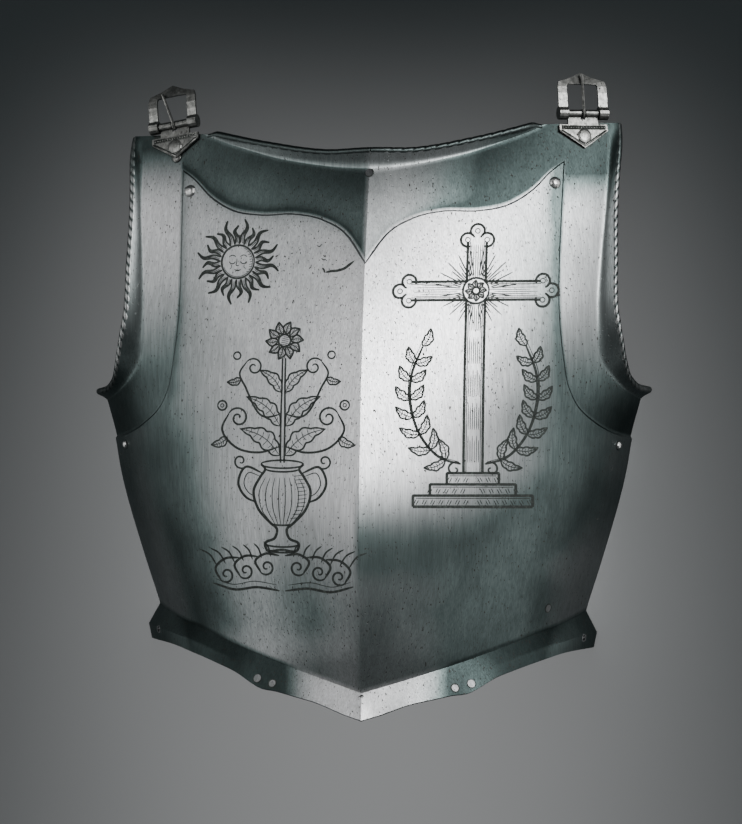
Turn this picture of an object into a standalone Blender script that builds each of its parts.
"""Steel breastplate of a cuirass, with a buckle riveted to each shoulder.

Metres, +Z out of the chest, +Y towards the neck, +X to the right as seen from the front.
The plate lies on its two side rims, which are in the plane Z = 0, with its hollow side down.
It is worked out as a sheet from outlines seen from the front and from the height of its ridge,
and then given its wall and its rolled edges. Left and right are as seen from the front.
"""

import math
from typing import NamedTuple

import bmesh
import bpy
import numpy as np
from mathutils import Matrix, Vector
from mathutils.bvhtree import BVHTree

# The plate.
HALF_WIDTH = 0.1862  # middle to the lower corner of an armhole
HEIGHT = 0.4005  # lowest point of the hem to the shoulder edges
DEPTH = 0.151  # side rims to the fullest point of the ridge
THICKNESS = 0.002
RECESS = 0.0013  # the bands at the neck and arms lie this much under the field
STEP_RUN = 0.0013  # width of the sloping step between the field and a band
SIDE_REACH = 1.02  # the section would stand upright this far out, as a share of the side's distance
STRIP_RISE = 0.9  # how much the turned-out strips at neck and arms rise for each unit of width
STRIP_CURVE = 1.6  # power by which the strips rise from their creases
STRIP_END = 6  # power of the way along, by which the strips die out at the shoulder
ROLL_RADIUS = 0.0022
LEAN = 0.004  # how far the shoulders lean to the right: the plate isn't true
SKEW = 0.133  # how much taller, per metre, the plate is the further to the right
HEM_FLARE = 0.009  # how far the hem stands out in front of the waist crease
HEM_BELLY = 0.0045  # how far its corners stand out past a straight flare
HEM_CORNER = 0.58  # the corners are this share of the way from the waist crease to the edge
HEM_CORNER_REACH = 6  # power of the way out, by which the hem bends out to its corners

# Rivets and holes.
SHANK_RADIUS = 0.0016
CLEARANCE = 0.0003
SHOULDER_HEAD = 0.0042
SHOULDER_DOME = 0.0024
SIDE_HEAD = 0.0030
SIDE_DOME = 0.0022
FLUSH_RADIUS = 0.0028
FLUSH_PROUD = 0.0002
BACK_HEAD = 0.0012
CENTRE_HOLE_RADIUS = 0.0012
CORNER_HOLE_RADIUS = 0.0020

# The buckles, each in its own frame: X along the bar, Y away from the shoulder, Z to the front.
LEFT_BAR_ABOVE_EDGE = 0.0063
RIGHT_BAR_ABOVE_EDGE = 0.0063
BAR_RADIUS = 0.0014
BAR_HALF_LENGTH = 0.0175
RIVET_BELOW_BAR = 0.0156
KNUCKLE_RADIUS = 0.0026
KNUCKLE_HALF_WIDTH = 0.0107
TONGUE_GAP_HALF = 0.0018
LEAF_HALF_WIDTH = 0.0172
LEAF_TOP = 0.0077  # under the bar, as are the next two
LEAF_SHOULDER = 0.0121
LEAF_TIP = 0.0240
LEAF_FRONT = 0.0005  # behind the bar's axis
LEAF_THICKNESS = 0.0022
TAB_INSET = 0.0002
FRAME_HEIGHT = 0.0285
FRAME_THICKNESS = 0.0018
FRAME_BOW = 0.0022
ARM_WIDTH = 0.0063
EYE_RADIUS = 0.0045
TONGUE_RADIUS = 0.0010
TONGUE_LENGTH = 0.0264
TONGUE_LEAN = 0.0019  # how much further forward the tip is than the loop's front
BUCKLE_HEAD = 0.0050
BUCKLE_DOME = 0.0009
LEFT_TILT = math.radians(10.0)
LEFT_LEAN = math.radians(17.0)  # of the left tongue within its frame

# How finely the sheet is divided.
COLUMNS = 14
SIDE_ROWS = 7
ARM_ROWS = 16
NECK_ROWS = 4
BAND_COLUMNS = 3
STRIP_COLUMNS = 3
SHOULDER_COLUMNS = 2  # the columns of the neck band that end on the shoulder edge
HEM_HALF_ROWS = 2  # from the waist crease to the corners, and again to the edge
ROLL_SEGMENTS = 9
ROUND_SIDES = 14


class At(NamedTuple):
    """A point of an outline, as shares of HALF_WIDTH and HEIGHT."""

    across: float
    up: float


class Level(NamedTuple):
    """A size at a level: up is a share of HEIGHT, and size a share of what the table says."""

    up: float
    size: float


# Forward reach of the ridge, as a share of DEPTH.
RIDGE = (
    Level(0.000, 0.740),
    Level(0.045, 0.800),
    Level(0.115, 0.894),
    Level(0.200, 0.967),
    Level(0.318, 1.000),
    Level(0.471, 0.960),
    Level(0.624, 0.868),
    Level(0.772, 0.742),
    Level(0.930, 0.570),
    Level(1.000, 0.464),
)

# Distance from the middle at which the field meets the side rims, as a share of HALF_WIDTH.
# Above the armholes it only carries the curve of the chest on.
SIDE = (
    Level(0.000, 0.690),
    Level(0.090, 0.735),
    Level(0.185, 0.785),
    Level(0.267, 0.841),
    Level(0.420, 0.932),
    Level(0.476, 0.953),
    Level(0.546, 0.993),
    Level(0.612, 1.026),
    Level(0.699, 1.058),
    Level(0.799, 1.069),
    Level(0.899, 1.063),
    Level(1.000, 1.042),
)

# Inner line of an arm band, from the side rim up to the shoulder.
ARM_LINE = (
    At(0.950, 0.476),
    At(0.886, 0.485),
    At(0.827, 0.502),
    At(0.774, 0.525),
    At(0.738, 0.559),
    At(0.718, 0.608),
    At(0.701, 0.678),
    At(0.696, 0.758),
    At(0.698, 0.828),
    At(0.702, 0.939),
)
ARM_LINE_TOP = At(0.705, 1.000)

# Crease where the strip at the armhole turns out, from the side rim up.
ARM_CREASE = (
    At(0.984, 0.537),
    At(0.922, 0.558),
    At(0.868, 0.586),
    At(0.834, 0.632),
    At(0.831, 0.678),
    At(0.837, 0.758),
    At(0.851, 0.853),
    At(0.860, 1.000),
)

# Edge of that strip, which the roll follows.
ARM_EDGE = (
    At(0.996, 0.5515),
    At(0.968, 0.555),
    At(0.937, 0.568),
    At(0.904, 0.598),
    At(0.883, 0.639),
    At(0.872, 0.678),
    At(0.871, 0.782),
    At(0.877, 0.893),
    At(0.893, 1.000),
)

# Lower line of the neck band, from the point on the ridge to the arm band.
NECK_LINE = (
    At(0.000, 0.7715),
    At(0.069, 0.8175),
    At(0.161, 0.8450),
    At(0.263, 0.8565),
    At(0.403, 0.8570),
    At(0.505, 0.8665),
    At(0.591, 0.8915),
    At(0.655, 0.9220),
    At(0.702, 0.9390),
)

# Crease where the strip at the neck turns out, and the edge that the roll follows.
NECK_CREASE = (
    At(0.000, 0.9296),
    At(0.081, 0.9318),
    At(0.220, 0.9406),
    At(0.365, 0.9550),
    At(0.467, 0.9700),
    At(0.574, 0.9880),
    At(0.636, 1.0000),
)
NECK_EDGE = (
    At(0.000, 0.9503),
    At(0.164, 0.9520),
    At(0.245, 0.9570),
    At(0.365, 0.9680),
    At(0.475, 0.9800),
    At(0.565, 0.9915),
    At(0.612, 1.0000),
)

# The waist crease and the lower edge of the hem, from the middle out.
WAIST = (
    At(0.000, 0.0450),
    At(0.215, 0.0770),
    At(0.403, 0.1075),
    At(0.591, 0.1425),
    At(0.714, 0.1660),
    At(0.785, 0.1850),
)
HEM = (
    At(0.000, 0.0000),
    At(0.062, 0.0087),
    At(0.167, 0.0272),
    At(0.263, 0.0380),
    At(0.322, 0.0444),
    At(0.387, 0.0494),
    At(0.424, 0.0594),
    At(0.473, 0.0739),
    At(0.542, 0.0874),
    At(0.644, 0.1044),
    At(0.714, 0.1154),
    At(0.814, 0.1240),
)

# Where the rivets and holes are.
SHOULDER_RIVET = At(0.667, 0.900)
SIDE_RIVET = At(0.905, 0.462)
NECK_RIVET = At(0.000, 0.922)
WAIST_PLUG = At(0.657, 0.190)
HEM_RIVETS = {"inner": At(0.332, 0.0565), "outer": At(0.389, 0.0640)}
CORNER_HOLE = At(0.782, 0.140)
CENTRE_HOLE = At(0.000, 0.040)
BUCKLE_SHARES = {"left": 0.728, "right": 0.762}  # of HALF_WIDTH across

# Outline of a buckle frame from its bar to the middle of its top: the inner and outer edge,
# as shares of half the bar's length across and of FRAME_HEIGHT up.
FRAME_OUTLINE = (
    ((0.64, 0.00), (1.00, 0.00)),
    ((0.64, 0.15), (1.00, 0.15)),
    ((0.64, 0.30), (1.00, 0.30)),
    ((0.64, 0.48), (1.00, 0.48)),
    ((0.64, 0.64), (1.00, 0.64)),
    ((0.60, 0.69), (0.94, 0.77)),
    ((0.30, 0.70), (0.46, 0.86)),
    ((0.00, 0.70), (0.00, 1.00)),
)

STEEL = ("plate_steel", (0.43, 0.44, 0.45, 1.0), 0.33)
RIVET_STEEL = ("rivet_steel", (0.50, 0.50, 0.49, 1.0), 0.30)
BUCKLE_STEEL = ("buckle_steel", (0.30, 0.30, 0.28, 1.0), 0.40)
SHARP_ANGLE = math.radians(22)


def spline(knots, values, at):
    """Values at the places given, on a smooth cubic curve through the knots."""
    knots, values = np.asarray(knots, float), np.asarray(values, float)
    slopes = np.gradient(values, knots, axis=0)
    at = np.asarray(at, float)
    i = np.clip(np.searchsorted(knots, at, side="right") - 1, 0, len(knots) - 2)
    step = knots[i + 1] - knots[i]
    t = (at - knots[i]) / step
    if values.ndim > 1:
        t, step = t[..., None], step[..., None]
    rise = values[i] * (2 * t**3 - 3 * t**2 + 1) + values[i + 1] * (3 * t**2 - 2 * t**3)
    return rise + step * (slopes[i] * (t**3 - 2 * t**2 + t) + slopes[i + 1] * (t**3 - t**2))


def sized(table):
    """An outline's points in metres."""
    return np.array(table) * (HALF_WIDTH, HEIGHT)


def along(table, shares):
    """Points at these shares of the length of a smooth curve through an outline."""
    points = sized(table)
    chords = np.concatenate([[0], np.cumsum(np.linalg.norm(np.diff(points, axis=0), axis=1))])
    return spline(chords, points, np.asarray(shares) * chords[-1])


def over(table, shares):
    """Points of an outline that runs from the middle out, at shares of its own reach."""
    points = sized(table)
    x = np.asarray(shares) * points[-1, 0]
    return np.stack([x, spline(points[:, 0], points[:, 1], x)], axis=-1)


def side_distance(y):
    """Distance from the middle to the side rim at height y."""
    levels = np.array(SIDE)
    return spline(levels[:, 0] * HEIGHT, levels[:, 1] * HALF_WIDTH, y)


def depth(x, y):
    """Height of the field over the floor: each section is half a parabola from the ridge to the rim."""
    levels = np.array(RIDGE)
    ridge = spline(levels[:, 0] * HEIGHT, levels[:, 1] * DEPTH, y)
    reach = side_distance(y) * SIDE_REACH
    at_rim = math.sqrt(1 - 1 / SIDE_REACH)
    curve = np.sqrt(np.clip(1 - np.abs(x) / reach, 0, None))
    return ridge * (curve - at_rim) / (1 - at_rim)


def facing(x, y):
    """Unit normals of the field, from differences of its depth."""
    h = 0.0002
    dx = (depth(x + h, y) - depth(x - h, y)) / (2 * h)
    dy = (depth(x, y + h) - depth(x, y - h)) / (2 * h)
    normal = np.stack([-dx, -dy, np.ones_like(dx)], axis=-1)
    return normal / np.linalg.norm(normal, axis=-1, keepdims=True)


def surface(flat, sink=0.0):
    """Points over the front view, sunk under the field by this much along its normals."""
    x, y = flat[..., 0], flat[..., 1]
    sink = np.broadcast_to(np.asarray(sink, float), x.shape)
    return np.stack([x, y, depth(x, y)], axis=-1) - facing(x, y) * sink[..., None]


def blend(a, b, shares):
    """Rows of points from a to b, at these shares."""
    t = np.asarray(shares)[:, None, None]
    return a[None] * (1 - t) + b[None] * t


def skewed(x, y):
    """Place in the finished plate, which leans to the right and is a little taller there."""
    return x + LEAN * (y / HEIGHT) ** 3, HEIGHT / 2 + (y - HEIGHT / 2) * (1 + SKEW * x)


def shifted(points, distance):
    """A curve in the front view moved to its right-hand side, as seen along it."""
    run = np.gradient(points, axis=0)
    run /= np.linalg.norm(run, axis=1, keepdims=True)
    return points + distance * np.stack([run[:, 1], -run[:, 0]], axis=1)


def column_shares():
    """Shares of the way from the ridge out, closer together where the side curves back."""
    return 1 - (1 - np.linspace(0, 1, COLUMNS + 1)) ** 1.6


def arm_line():
    """Inner line of the arm band, from the side rim to the corner of the neck band."""
    points = along(ARM_LINE, np.linspace(0, 1, ARM_ROWS + 1) ** 1.4)
    points[0, 0] = side_distance(points[0, 1])
    return points


def field_patch():
    """The raised field, from the waist crease up to the steps, row by row."""
    u = column_shares()
    line = arm_line()
    edge = shifted(line, -STEP_RUN)
    edge[0] = line[0] - (0, STEP_RUN)
    edge[-1] = line[-1] + (-STEP_RUN, -1.6 * STEP_RUN)
    waist = over(WAIST, u)
    levels = np.linspace(waist[-1, 1], edge[0, 1], SIDE_ROWS + 1)[:-1]
    side = np.stack([side_distance(levels), levels], axis=1)
    outer = np.concatenate([side, edge])
    outer[: SIDE_ROWS + 1, 0] = side_distance(outer[: SIDE_ROWS + 1, 1])
    top = shifted(over(NECK_LINE, u), STEP_RUN)
    top[0] = sized(NECK_LINE)[0] - (0, 1.6 * STEP_RUN)
    top += u[:, None] ** 6 * (outer[-1] - top[-1])
    v = (outer[:, 1] - outer[0, 1]) / (outer[-1, 1] - outer[0, 1])
    ridge = np.stack([0 * v, waist[0, 1] + v * (top[0, 1] - waist[0, 1])], axis=1)
    rows = ridge[:, None] * (1 - u)[None, :, None] + outer[:, None] * u[None, :, None]
    low, high = (1 - v) ** 3, v**3
    rows += low[:, None, None] * (waist - rows[0]) + high[:, None, None] * (top - rows[-1])
    return surface(rows)


def neck_patch():
    """The sunk neck band, from its lower line to the crease and the shoulder edge."""
    u = column_shares()
    last = COLUMNS - SHOULDER_COLUMNS
    crease = over(NECK_CREASE, u[: last + 1] / u[last])
    inner, outer = crease[-1], np.array(ARM_LINE_TOP) * (HALF_WIDTH, HEIGHT)
    t = (u[last + 1 :] - u[last]) / (1 - u[last])
    top = np.concatenate([crease, inner + t[:, None] * (outer - inner)])
    return surface(blend(over(NECK_LINE, u), top, np.linspace(0, 1, NECK_ROWS + 1)), RECESS)


def arm_lines():
    """The arm band's inner line, crease and edge, row for row from the side rim to the shoulder."""
    line = arm_line()
    top = np.array(ARM_LINE_TOP) * (HALF_WIDTH, HEIGHT)
    t = np.linspace(0, 1, NECK_ROWS + 1)[1:, None]
    line = np.concatenate([line, line[-1] + t * (top - line[-1])])
    chords = np.concatenate([[0], np.cumsum(np.linalg.norm(np.diff(line, axis=0), axis=1))])
    shares = chords / chords[-1]
    crease, edge = along(ARM_CREASE, shares), along(ARM_EDGE, shares)
    crease[0, 0], edge[0, 0] = side_distance(crease[0, 1]), side_distance(edge[0, 1])
    return line, crease, edge


def arm_patch():
    """The sunk arm band, whose first row follows the side rim."""
    line, crease, _ = arm_lines()
    across = np.linspace(0, 1, BAND_COLUMNS + 1)
    rows = blend(line, crease, across).transpose(1, 0, 2)
    rows[0, :, 0] = side_distance(rows[0, :, 1])
    return surface(rows, RECESS)


def strip_patch(crease, edge):
    """A strip that turns out from a band, rising with its width until it dies out at its end."""
    width = np.linalg.norm(edge - crease, axis=1)
    shares = np.linspace(0, 1, STRIP_COLUMNS + 1)
    dying = 1 - np.linspace(0, 1, len(crease)) ** STRIP_END
    rise = shares[:, None] ** STRIP_CURVE * (width * dying)[None] * STRIP_RISE
    return surface(blend(crease, edge, shares), RECESS - rise)


def hem_patch():
    """The flared hem, from its lower edge up to the waist crease."""
    u = column_shares()
    waist, hem = over(WAIST, u), over(HEM, u)
    start = surface(waist)
    out = facing(waist[:, 0], waist[:, 1])[:, (0, 2)]
    out /= np.linalg.norm(out, axis=1, keepdims=True)
    rows = []
    low = np.linspace(1, HEM_CORNER, HEM_HALF_ROWS + 1)
    high = np.linspace(HEM_CORNER, 0, HEM_HALF_ROWS + 1)[1:]
    for t in (*low, *high):
        tent = min(t / HEM_CORNER, (1 - t) / (1 - HEM_CORNER))
        belly = tent * HEM_BELLY * u**HEM_CORNER_REACH
        x = waist[:, 0] + t * (hem[:, 0] - waist[:, 0]) + belly * out[:, 0]
        y = waist[:, 1] + t * (hem[:, 1] - waist[:, 1])
        z = start[:, 2] + (t * HEM_FLARE + belly) * out[:, 1]
        rows.append(np.stack([x, y, z], axis=1))
    return np.array(rows)


def add_patch(sheet, points, rolled_row=None):
    """Adds a grid of points and its quads to the sheet, and marks the row that gets a roll."""
    mark = sheet.verts.layers.int["rolled"]
    rows = [[sheet.verts.new(p) for p in row] for row in points]
    for low, high in zip(rows, rows[1:]):
        for i in range(len(low) - 1):
            sheet.faces.new((low[i], low[i + 1], high[i + 1], high[i]))
    if rolled_row is not None:
        for vert in rows[rolled_row]:
            vert[mark] = 1


def half_sheet(sheet):
    """The right half of the plate's front face."""
    field, neck, arm, hem = field_patch(), neck_patch(), arm_patch(), hem_patch()
    _, crease, edge = arm_lines()
    last = COLUMNS - SHOULDER_COLUMNS
    u = column_shares()[: last + 1]
    u = u / u[-1]
    arm_strip = strip_patch(crease, edge).transpose(1, 0, 2)
    add_patch(sheet, hem)
    add_patch(sheet, field)
    add_patch(sheet, np.stack([field[-1], neck[0]]))
    add_patch(sheet, neck)
    add_patch(sheet, np.stack([field[SIDE_ROWS:, -1], arm[: ARM_ROWS + 1, 0]], axis=1))
    add_patch(sheet, arm)
    add_patch(sheet, strip_patch(over(NECK_CREASE, u), over(NECK_EDGE, u)), rolled_row=-1)
    mirrored = arm_strip.transpose(1, 0, 2)[::-1]
    add_patch(sheet, mirrored[:, ::-1], rolled_row=0)


def roll_sections(sheet, back):
    """For each marked vertex, the vertices of its roll from the front face round to the back."""
    mark = sheet.verts.layers.int["rolled"]
    sections = {}
    end = math.pi + math.asin((ROLL_RADIUS - THICKNESS) / ROLL_RADIUS)
    for vert in [v for v in back if v[mark]]:
        ends = [e.other_vert(vert).co for e in vert.link_edges if e.is_boundary and e.other_vert(vert)[mark]]
        run = (ends[0] - (ends[1] if len(ends) > 1 else vert.co)).normalized()
        middle = sum((f.calc_center_median() for f in vert.link_faces), Vector()) / len(vert.link_faces)
        out = run.cross(vert.normal).normalized()
        if out.dot(vert.co - middle) < 0:
            out.negate()
        centre = vert.co - vert.normal * ROLL_RADIUS
        places = []
        for k in range(1, ROLL_SEGMENTS + 1):
            angle = math.pi / 2 - k * (math.pi / 2 + end) / ROLL_SEGMENTS
            places.append(centre + ROLL_RADIUS * (math.cos(angle) * out + math.sin(angle) * vert.normal))
        back[vert].co = places.pop()
        sections[vert] = [vert, *[sheet.verts.new(p) for p in places], back[vert]]
    return sections


def thicken(sheet):
    """Gives the sheet its wall, a plain rim, and a roll along the marked edges."""
    sheet.normal_update()
    fronts, faces = list(sheet.verts), list(sheet.faces)
    rim = [e for e in sheet.edges if e.is_boundary]
    insets = [v.co - v.normal * THICKNESS * min(v.calc_shell_factor(), 1.3) for v in fronts]
    back = {v: sheet.verts.new(p) for v, p in zip(fronts, insets)}
    sections = roll_sections(sheet, back)
    for face in faces:
        sheet.faces.new([back[v] for v in reversed(face.verts)])
    plain_ends = set()
    for edge in rim:
        a, b = edge.verts
        if a in sections and b in sections:
            for low, high in zip(range(ROLL_SEGMENTS), range(1, ROLL_SEGMENTS + 1)):
                one, two = sections[a], sections[b]
                sheet.faces.new((one[low], one[high], two[high], two[low]))
        else:
            sheet.faces.new((a, b, back[b], back[a]))
            plain_ends |= {a, b}
    for vert in plain_ends & set(sections):
        sheet.faces.new(sections[vert])
    for vert in sheet.verts:
        vert.co.z = max(vert.co.z, 0.0)
    bmesh.ops.recalc_face_normals(sheet, faces=sheet.faces)


def material(kind):
    """A metal finish."""
    name, colour, roughness = kind
    made = bpy.data.materials.get(name) or bpy.data.materials.new(name)
    made.use_nodes = True
    shader = made.node_tree.nodes["Principled BSDF"]
    shader.inputs["Base Color"].default_value = colour
    shader.inputs["Metallic"].default_value = 1.0
    shader.inputs["Roughness"].default_value = roughness
    return made


def finished(name, mesh, kind, parent, place=None):
    """An object of this mesh, in its material, at its place under its parent."""
    made = bpy.data.objects.new(name, mesh)
    mesh.materials.append(material(kind))
    mesh.shade_smooth()
    mesh.set_sharp_from_angle(angle=SHARP_ANGLE)
    bpy.context.scene.collection.objects.link(made)
    made.parent = parent
    made.matrix_local = place or Matrix.Identity(4)
    return made


def mesh_of(name, shape):
    """A mesh of this bmesh, whose faces are turned outwards."""
    bmesh.ops.recalc_face_normals(shape, faces=shape.faces)
    mesh = bpy.data.meshes.new(name)
    shape.to_mesh(mesh)
    shape.free()
    return mesh


def turned(name, profile, sides=ROUND_SIDES):
    """A solid turned about Z from (radius, height) pairs that start and end on the axis."""
    shape = bmesh.new()
    rings = []
    for radius, height in profile:
        if radius == 0:
            rings.append([shape.verts.new((0, 0, height))] * sides)
            continue
        turns = (2 * math.pi * k / sides for k in range(sides))
        rings.append([shape.verts.new((radius * math.cos(a), radius * math.sin(a), height)) for a in turns])
    for low, high in zip(rings, rings[1:]):
        for k in range(sides):
            corners = (low[k], low[(k + 1) % sides], high[(k + 1) % sides], high[k])
            shape.faces.new(dict.fromkeys(corners))
    return mesh_of(name, shape)


def prism(outline, low, high, axis="Z"):
    """A bmesh prism: an outline in the other two axes, carried from low to high along one axis."""
    shape = bmesh.new()
    place = {"Z": lambda a, b, c: (a, b, c), "X": lambda a, b, c: (c, a, b)}[axis]
    ends = [[shape.verts.new(place(a, b, at)) for a, b in outline] for at in (low, high)]
    count = len(outline)
    for k in range(count):
        shape.faces.new((ends[0][k], ends[0][(k + 1) % count], ends[1][(k + 1) % count], ends[1][k]))
    for end in ends:
        shape.faces.new(end)
    return shape


def circle(radius, sides=ROUND_SIDES):
    """An outline that is round."""
    turns = (2 * math.pi * k / sides for k in range(sides))
    return [(radius * math.cos(a), radius * math.sin(a)) for a in turns]


def joined(name, shapes):
    """One mesh that holds several bmesh shapes side by side."""
    whole = bmesh.new()
    for shape in shapes:
        bmesh.ops.recalc_face_normals(shape, faces=shape.faces)
        part = bpy.data.meshes.new("piece")
        shape.to_mesh(part)
        shape.free()
        whole.from_mesh(part)
        bpy.data.meshes.remove(part)
    mesh = bpy.data.meshes.new(name)
    whole.to_mesh(mesh)
    whole.free()
    return mesh


def helper(name, shapes, parent, place=None):
    """A hidden object that a Boolean uses."""
    made = bpy.data.objects.new(name, joined(name, shapes))
    bpy.context.scene.collection.objects.link(made)
    made.parent = parent
    made.matrix_local = place or Matrix.Identity(4)
    made.hide_render = True
    made.display_type = "WIRE"
    return made


def boolean(target, other, operation):
    """Cuts or joins another object, with the exact solver."""
    modifier = target.modifiers.new(operation.lower(), "BOOLEAN")
    modifier.object = other
    modifier.operation = operation
    modifier.solver = "EXACT"


def upright(point, normal, tilt=0.0):
    """A place on the plate: Z along the normal, and Y up the plate, turned by tilt about Z."""
    z = Vector(normal).normalized()
    x = Vector((0, 1, 0)).cross(z).normalized()
    frame = Matrix((x, z.cross(x), z)).transposed().to_4x4()
    return Matrix.Translation(Vector(point)) @ frame @ Matrix.Rotation(tilt, 4, "Z")


class Seat(NamedTuple):
    """Where a rivet sits: its frame, with Z = 0 touching the plate's front, and the wall behind it."""

    place: Matrix
    behind: float


def seat(tree, at, side=1, front=SHOULDER_HEAD, back=FLUSH_RADIUS * 1.5, tilt=0.0, lift=True):
    """Finds the seat of a rivet with heads of these radii on the plate that the tree holds."""
    x, y = skewed(side * at.across * HALF_WIDTH, at.up * HEIGHT)
    high, down = Vector((0, 0, 2 * DEPTH)), Vector((0, 0, -1))
    round_it = [Vector((math.cos(k * math.pi / 4), math.sin(k * math.pi / 4), 0)) for k in range(8)]
    middle = tree.ray_cast(Vector((x, y, 0)) + high, down)[0]
    hits = [tree.ray_cast(middle + front * r * 0.7 + high, down)[0] for r in round_it]
    place = upright(middle, (hits[0] - hits[4]).cross(hits[2] - hits[6]), tilt)
    normal = place.col[2].to_3d()
    hits = [tree.ray_cast(middle + front * r + high, down)[0] for r in round_it]
    rise = max(0.0, max((h - middle).dot(normal) for h in hits if h)) if lift else 0.0
    place = Matrix.Translation(normal * rise) @ place
    walls = [place @ (back * r) for r in round_it] + [place @ Vector()]
    walls = [tree.ray_cast(w - normal * 8 * THICKNESS, normal)[0] for w in walls]
    return Seat(place, max((place.translation - w).dot(normal) for w in walls if w))


def dome(radius, height, steps=4):
    """Profile of a domed head that starts on the axis at its top and ends at its rim."""
    turns = (math.pi / 2 * k / steps for k in range(steps + 1))
    return [(radius * math.sin(a), height * math.cos(a)) for a in turns]


def rivet(name, head, at, parent, kind=RIVET_STEEL, over=0.0):
    """A rivet whose head sits a clearance over its seat, or over what lies on it."""
    under = over + CLEARANCE
    profile = [(r, h + under) for r, h in head]
    behind = -at.behind - CLEARANCE
    back = head[-1][0] * 0.8
    profile += [(SHANK_RADIUS, under), (SHANK_RADIUS, behind), (back, behind)]
    profile += [(back * 0.8, behind - BACK_HEAD), (0, behind - BACK_HEAD)]
    return finished(name, turned(name, profile), kind, parent, at.place)


def flush_rivet(name, tree, at, side, parent):
    """A rivet filed level with the plate, with its back head behind. Returns its hole's cutter."""
    found = seat(tree, at, side, FLUSH_RADIUS, lift=False)
    behind = -found.behind - CLEARANCE
    head = FLUSH_RADIUS * 1.5
    profile = [(0, FLUSH_PROUD), (FLUSH_RADIUS, FLUSH_PROUD), (FLUSH_RADIUS, behind), (head, behind)]
    profile += [(head * 0.8, behind - BACK_HEAD), (0, behind - BACK_HEAD)]
    finished(name, turned(name, profile), RIVET_STEEL, parent, found.place)
    return hole(found.place, FLUSH_RADIUS + CLEARANCE)


def hole(place, radius):
    """A round cutter through the wall at this place."""
    shape = prism(circle(radius), -4 * THICKNESS, 4 * THICKNESS)
    shape.transform(place)
    return shape


def plate_shape():
    """The plate without its holes: hem, field, bands, strips and rolls in one sheet."""
    sheet = bmesh.new()
    sheet.verts.layers.int.new("rolled")
    half_sheet(sheet)
    bmesh.ops.remove_doubles(sheet, verts=sheet.verts, dist=1e-5)
    bmesh.ops.recalc_face_normals(sheet, faces=sheet.faces)
    if sum(f.normal.z for f in sheet.faces) < 0:
        bmesh.ops.reverse_faces(sheet, faces=sheet.faces)
    other = bmesh.ops.duplicate(sheet, geom=[*sheet.verts, *sheet.edges, *sheet.faces])["geom"]
    moved = [g for g in other if isinstance(g, bmesh.types.BMVert)]
    bmesh.ops.scale(sheet, vec=(-1, 1, 1), verts=moved)
    bmesh.ops.reverse_faces(sheet, faces=[g for g in other if isinstance(g, bmesh.types.BMFace)])
    bmesh.ops.remove_doubles(sheet, verts=sheet.verts, dist=1e-5)
    for vert in sheet.verts:
        vert.co.xy = skewed(vert.co.x, vert.co.y)
    thicken(sheet)
    return sheet


def make_rivets(parent, tree):
    """All the rivets of the plate. Returns the cutters of their holes and of the bare ones."""
    bore = SHANK_RADIUS + CLEARANCE
    cutters = []
    for side, word in ((-1, "left"), (1, "right")):
        shoulder = seat(tree, SHOULDER_RIVET, side)
        flank = seat(tree, SIDE_RIVET, side, SIDE_HEAD)
        rivet(f"{word}_shoulder_rivet", dome(SHOULDER_HEAD, SHOULDER_DOME), shoulder, parent)
        rivet(f"{word}_side_rivet", dome(SIDE_HEAD, SIDE_DOME), flank, parent)
        cutters += [hole(shoulder.place, bore), hole(flank.place, bore)]
        for which, at in HEM_RIVETS.items():
            cutters.append(flush_rivet(f"{word}_{which}_hem_rivet", tree, at, side, parent))
        corner = seat(tree, CORNER_HOLE, side, CORNER_HOLE_RADIUS)
        cutters.append(hole(corner.place, CORNER_HOLE_RADIUS))
    cutters.append(flush_rivet("neck_plug", tree, NECK_RIVET, 1, parent))
    cutters.append(flush_rivet("waist_plug", tree, WAIST_PLUG, 1, parent))
    middle = seat(tree, CENTRE_HOLE, 1, CENTRE_HOLE_RADIUS)
    cutters.append(hole(middle.place, CENTRE_HOLE_RADIUS))
    return cutters


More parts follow.
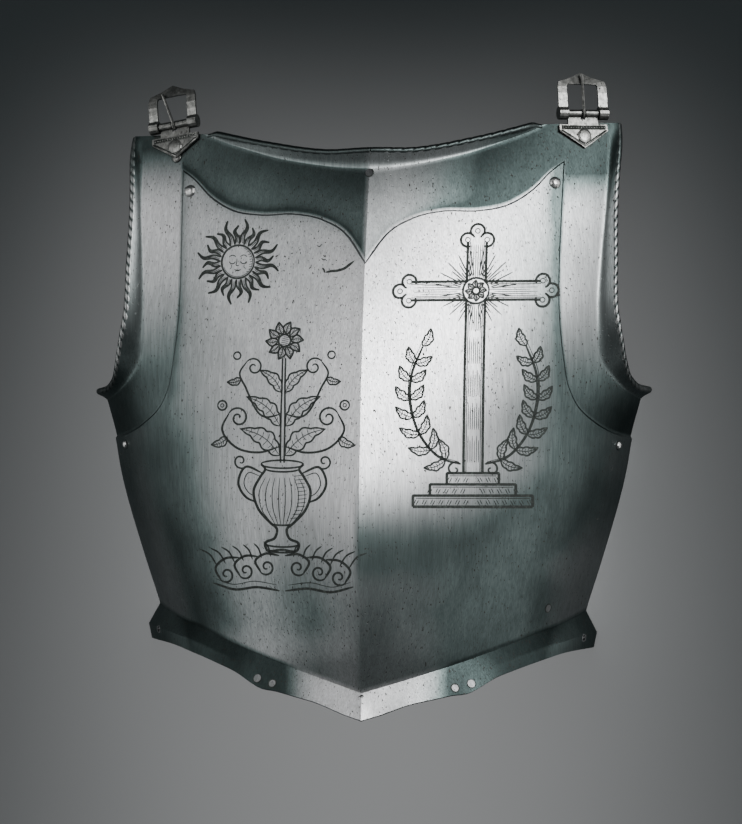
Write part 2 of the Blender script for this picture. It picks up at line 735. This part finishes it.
def make_buckle_plate(name, parent, place):
    """The folded, pointed plate, with its bore, the tongue's gap and the rivet's hole."""
    back = -LEAF_FRONT - LEAF_THICKNESS
    leaf = (
        (-LEAF_HALF_WIDTH, -LEAF_TOP),
        (-LEAF_HALF_WIDTH, -LEAF_SHOULDER),
        (0, -LEAF_TIP),
        (LEAF_HALF_WIDTH, -LEAF_SHOULDER),
        (LEAF_HALF_WIDTH, -LEAF_TOP),
    )
    plate = finished(name, mesh_of(name, prism(leaf, back, -LEAF_FRONT)), BUCKLE_STEEL, parent, place)
    foot = -LEAF_TOP - KNUCKLE_RADIUS
    tab = [(foot, back + TAB_INSET), (foot, -LEAF_FRONT - TAB_INSET), (-BAR_RADIUS, -LEAF_FRONT - TAB_INSET)]
    tab = tab + [(0, -LEAF_FRONT), (0, back + TAB_INSET)]
    width = KNUCKLE_HALF_WIDTH
    boolean(plate, helper(f"{name}_tab", [prism(tab, -width, width, "X")], parent, place), "UNION")
    knuckle = prism(circle(KNUCKLE_RADIUS), -width, width, "X")
    boolean(plate, helper(f"{name}_knuckle", [knuckle], parent, place), "UNION")
    bore = prism(circle(BAR_RADIUS + CLEARANCE), -2 * width, 2 * width, "X")
    boolean(plate, helper(f"{name}_bore", [bore], parent, place), "DIFFERENCE")
    reach = BAR_RADIUS + CLEARANCE + 2 * TONGUE_RADIUS + 2 * CLEARANCE
    slot = [(-reach, -reach), (reach, -reach), (reach, reach), (-reach, reach)]
    cut = [prism(slot, -TONGUE_GAP_HALF, TONGUE_GAP_HALF, "X")]
    boolean(plate, helper(f"{name}_slot", cut, parent, place), "DIFFERENCE")
    rivet_hole = prism(circle(SHANK_RADIUS + CLEARANCE), 2 * back, THICKNESS)
    rivet_hole.transform(Matrix.Translation((0, -RIVET_BELOW_BAR, 0)))
    boolean(plate, helper(f"{name}_hole", [rivet_hole], parent, place), "DIFFERENCE")


def frame_bow(y):
    """How far in front of the bar's axis the frame's middle is, at height y over the bar."""
    return FRAME_BOW * math.sin(math.pi * min(max(y / FRAME_HEIGHT, 0), 1)) ** 0.8


def make_frame(name, parent, place):
    """The buckle's frame: a flat bowed loop with a pointed top, and the bar between its ends."""
    shape = bmesh.new()
    half = [((xi, yi), (xo, yo)) for (xi, yi), (xo, yo) in FRAME_OUTLINE]
    stations = half + [((-xi, yi), (-xo, yo)) for (xi, yi), (xo, yo) in reversed(half[:-1])]
    rings = []
    for inner, outer in stations:
        ring = []
        for (x, y), z in ((inner, -0.5), (outer, -0.5), (outer, 0.5), (inner, 0.5)):
            y = y * FRAME_HEIGHT
            ring.append(shape.verts.new((x * BAR_HALF_LENGTH, y, frame_bow(y) + z * FRAME_THICKNESS)))
        rings.append(ring)
    for low, high in zip(rings, rings[1:]):
        for k in range(4):
            shape.faces.new((low[k], low[(k + 1) % 4], high[(k + 1) % 4], high[k]))
    shape.faces.new(rings[0])
    shape.faces.new(rings[-1])
    frame = finished(name, mesh_of(name, shape), BUCKLE_STEEL, parent, place)
    overhang = CLEARANCE / 2
    for side in (-1, 1):
        ends = sorted((side * (BAR_HALF_LENGTH + overhang), side * (BAR_HALF_LENGTH - ARM_WIDTH)))
        eye = prism(circle(EYE_RADIUS), *ends, "X")
        boolean(frame, helper(f"{name}_eye_{side + 1}", [eye], parent, place), "UNION")
    bar = prism(circle(BAR_RADIUS), -BAR_HALF_LENGTH + overhang, BAR_HALF_LENGTH - overhang, "X")
    boolean(frame, helper(f"{name}_bar", [bar], parent, place), "UNION")


def make_tongue(name, parent, place, lean):
    """The buckle's tongue: a wire bent round the bar, whose tip lies over the frame's top."""
    loop = BAR_RADIUS + CLEARANCE + TONGUE_RADIUS
    path = []
    for k in range(11):
        angle = math.radians(-250 + 250 * k / 10)
        path.append((0, loop * math.sin(angle), loop * math.cos(angle)))
    length = TONGUE_LENGTH * math.cos(2 * lean)
    for k in range(1, 9):
        y = BAR_RADIUS + (length - BAR_RADIUS) * (k - 1) / 7
        across = math.tan(lean) * (y - BAR_RADIUS)
        path.append((-across, y, loop + TONGUE_LEAN * y / TONGUE_LENGTH))
    curve = bpy.data.curves.new(name, "CURVE")
    curve.dimensions = "3D"
    curve.bevel_depth = TONGUE_RADIUS
    curve.bevel_resolution = 2
    curve.use_fill_caps = True
    line = curve.splines.new("POLY")
    line.points.add(len(path) - 1)
    for point, place_at in zip(line.points, path):
        point.co = (*place_at, 1)
    curve.materials.append(material(BUCKLE_STEEL))
    made = bpy.data.objects.new(name, curve)
    bpy.context.scene.collection.objects.link(made)
    made.parent = parent
    made.matrix_local = place


def make_buckle(word, side, above_edge, tilt, lean, parent, tree):
    """A buckle and its rivet. Returns the cutter of the rivet's hole in the plate."""
    at = At(BUCKLE_SHARES[word], (HEIGHT + above_edge - RIVET_BELOW_BAR) / HEIGHT)
    found = seat(tree, at, side, LEAF_HALF_WIDTH / 2, FLUSH_RADIUS * 1.5, tilt)
    lift = CLEARANCE + LEAF_FRONT + LEAF_THICKNESS
    place = found.place @ Matrix.Translation((0, RIVET_BELOW_BAR, lift))
    make_buckle_plate(f"{word}_buckle_plate", parent, place)
    make_frame(f"{word}_buckle_frame", parent, place)
    make_tongue(f"{word}_buckle_tongue", parent, place, lean)
    head = dome(BUCKLE_HEAD, BUCKLE_DOME)
    rivet(f"{word}_buckle_rivet", head, found, parent, BUCKLE_STEEL, CLEARANCE + LEAF_THICKNESS)
    return hole(found.place, SHANK_RADIUS + CLEARANCE)


def centre_on_floor(holder):
    """Moves the whole so that the origin is in the middle of its outline, on the floor."""
    bpy.context.view_layer.update()
    graph = bpy.context.evaluated_depsgraph_get()
    places = []
    for made in holder.children:
        if made.hide_render:
            continue
        solid = made.evaluated_get(graph)
        places += [(solid.matrix_world @ v.co).xy for v in solid.to_mesh().vertices]
        solid.to_mesh_clear()
    low, high = np.min(places, axis=0), np.max(places, axis=0)
    holder.location.xy = -(low + high) / 2


def main():
    """Builds the breastplate and its buckles."""
    for made in list(bpy.data.objects):
        bpy.data.objects.remove(made)
    holder = bpy.data.objects.new("breastplate_holder", None)
    bpy.context.scene.collection.objects.link(holder)
    sheet = plate_shape()
    tree = BVHTree.FromBMesh(sheet)
    cutters = make_rivets(holder, tree)
    cutters.append(make_buckle("left", -1, LEFT_BAR_ABOVE_EDGE, LEFT_TILT, LEFT_LEAN, holder, tree))
    cutters.append(make_buckle("right", 1, RIGHT_BAR_ABOVE_EDGE, 0.0, 0.0, holder, tree))
    plate = finished("breastplate", mesh_of("breastplate", sheet), STEEL, holder)
    boolean(plate, helper("hole_cutter", cutters, holder), "DIFFERENCE")
    centre_on_floor(holder)


main()
